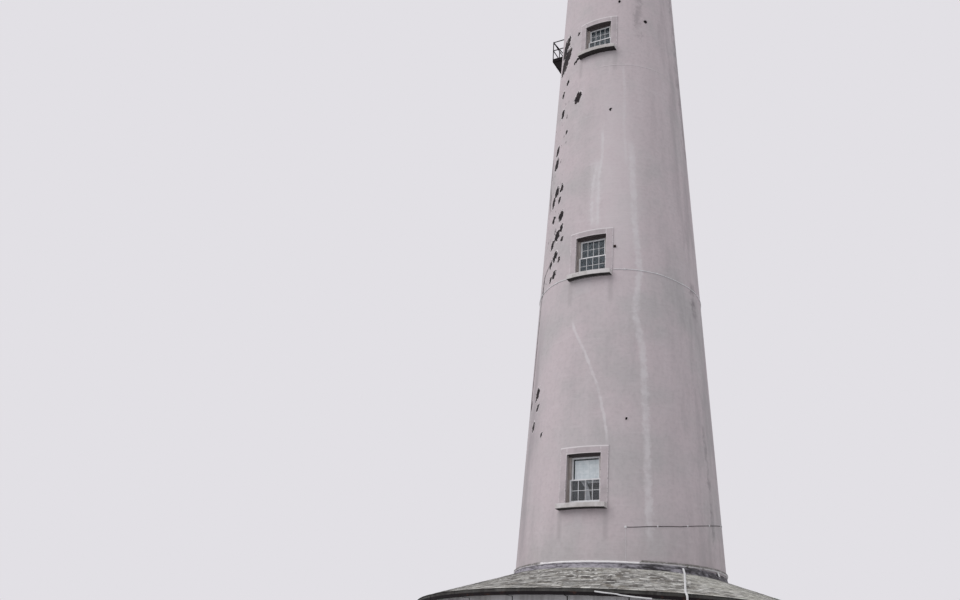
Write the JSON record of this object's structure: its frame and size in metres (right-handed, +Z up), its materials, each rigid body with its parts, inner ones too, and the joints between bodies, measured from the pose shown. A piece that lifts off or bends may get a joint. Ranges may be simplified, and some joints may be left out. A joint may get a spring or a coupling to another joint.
{
  "type": "lighthouse",
  "caption": "Tall rendered round lighthouse tower with stacked sash windows, rising from a slate-roofed ring building.",
  "frame": {"origin": "on the tower's axis at the ground", "axes": "+Z up, the tower's windows face -Y, the balcony faces -X"},
  "size_m": [12.49, 12.49, 36.558],
  "materials": {
    "render": "matte",
    "sill_stone": "matte",
    "slate": "matte",
    "floor_timber": "matte",
    "white_paint": "satin",
    "door_paint": "satin",
    "window_glass": "gloss",
    "lead": "matte",
    "black_iron": "satin",
    "conduit_paint": "satin",
    "lantern_paint": "satin"
  },
  "bodies": {
    "root": {"tower_wall_1_front": "render", "tower_wall_1_back": "render", "tower_wall_2_front": "render", "tower_wall_2_back": "render", "tower_wall_3_front": "render", "tower_wall_3_back": "render", "tower_wall_4_front": "render", "tower_wall_4_back": "render", "tower_wall_5_left": "render", "tower_wall_5_right": "render", "tower_floors": "floor_timber", "window_surrounds": "render", "window_sills": "sill_stone", "window_frames": "white_paint", "lower_sashes": "white_paint", "upper_sashes": "white_paint", "window_glass": "window_glass", "balcony_platform": "black_iron", "balcony_brackets": "black_iron", "balcony_railing": "black_iron", "balcony_door": "door_paint", "balcony_door_frame": "white_paint", "annex_wall_front": "render", "annex_wall_front_right": "render", "annex_wall_back_right": "render", "annex_wall_back": "render", "annex_wall_back_left": "render", "annex_wall_front_left": "render", "annex_roof_front": "slate", "annex_roof_back": "slate", "roof_flashing": "lead", "roof_gutter": "black_iron", "roof_conduit": "conduit_paint", "annex_sills": "sill_stone", "annex_window_frames": "white_paint", "annex_glass": "window_glass", "annex_door": "door_paint", "annex_door_frame": "white_paint", "cornice": "render", "gallery_deck": "render", "gallery_railing": "black_iron", "lantern_wall": "render", "lantern_door": "door_paint", "lantern_frame": "lantern_paint", "lantern_glass": "window_glass", "lantern_roof": "lantern_paint", "roof_vent": "lantern_paint"}
  },
  "joints": []
}
